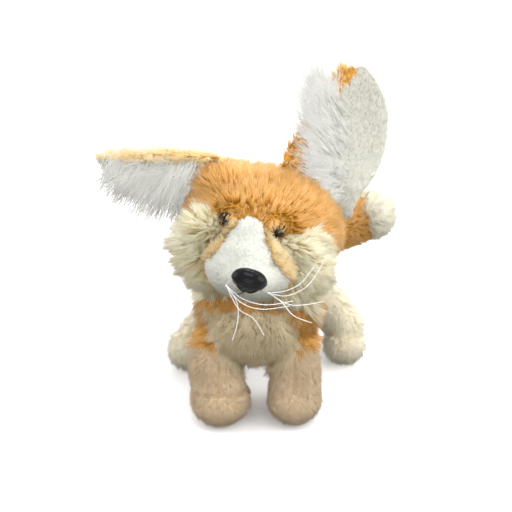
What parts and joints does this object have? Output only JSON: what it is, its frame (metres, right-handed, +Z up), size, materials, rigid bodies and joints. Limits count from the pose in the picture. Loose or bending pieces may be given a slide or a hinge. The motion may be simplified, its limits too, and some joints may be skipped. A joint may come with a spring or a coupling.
{
  "type": "plush toy fennec fox",
  "caption": "Stuffed plush toy of a fennec fox, standing, with one big ear upright, the other drooping, a fat tail, a moulded nose and stiff whiskers.",
  "frame": {"origin": "on the floor, under the middle of the bounding box", "axes": "+Z up, the fox faces -Y, its left side is +X"},
  "size_m": [0.1862, 0.1837, 0.2107],
  "materials": {
    "orange_plush": "shaggy orange plush, pile about 9 mm on the head and body",
    "cream_plush": "cream plush, long on the cheeks and bib, short on legs and paws",
    "white_plush": "short smooth white plush",
    "long_white_fur": "long straight white faux fur, about 25 mm",
    "black_plastic": "glossy moulded black",
    "brown_plastic": "glossy moulded very dark brown",
    "whisker_nylon": "stiff white nylon thread"
  },
  "bodies": {
    "root": {"head": "orange_plush", "torso": "orange_plush", "tail": "orange_plush", "cheek_left": "cream_plush", "cheek_right": "cream_plush", "chest_bib": "cream_plush", "tail_tip": "cream_plush", "leg_front_left": "cream_plush", "leg_front_right": "cream_plush", "leg_hind_left": "cream_plush", "leg_hind_right": "cream_plush", "paw_front_left": "cream_plush", "paw_front_right": "cream_plush", "paw_hind_left": "cream_plush", "paw_hind_right": "cream_plush", "muzzle": "white_plush", "ear_left": "white_plush", "ear_right": "white_plush", "ear_fluff_left": "long_white_fur", "ear_fluff_right": "long_white_fur", "nose": "black_plastic", "eye_left": "brown_plastic", "eye_right": "brown_plastic", "whiskers_left": "whisker_nylon", "whiskers_right": "whisker_nylon"}
  },
  "joints": []
}
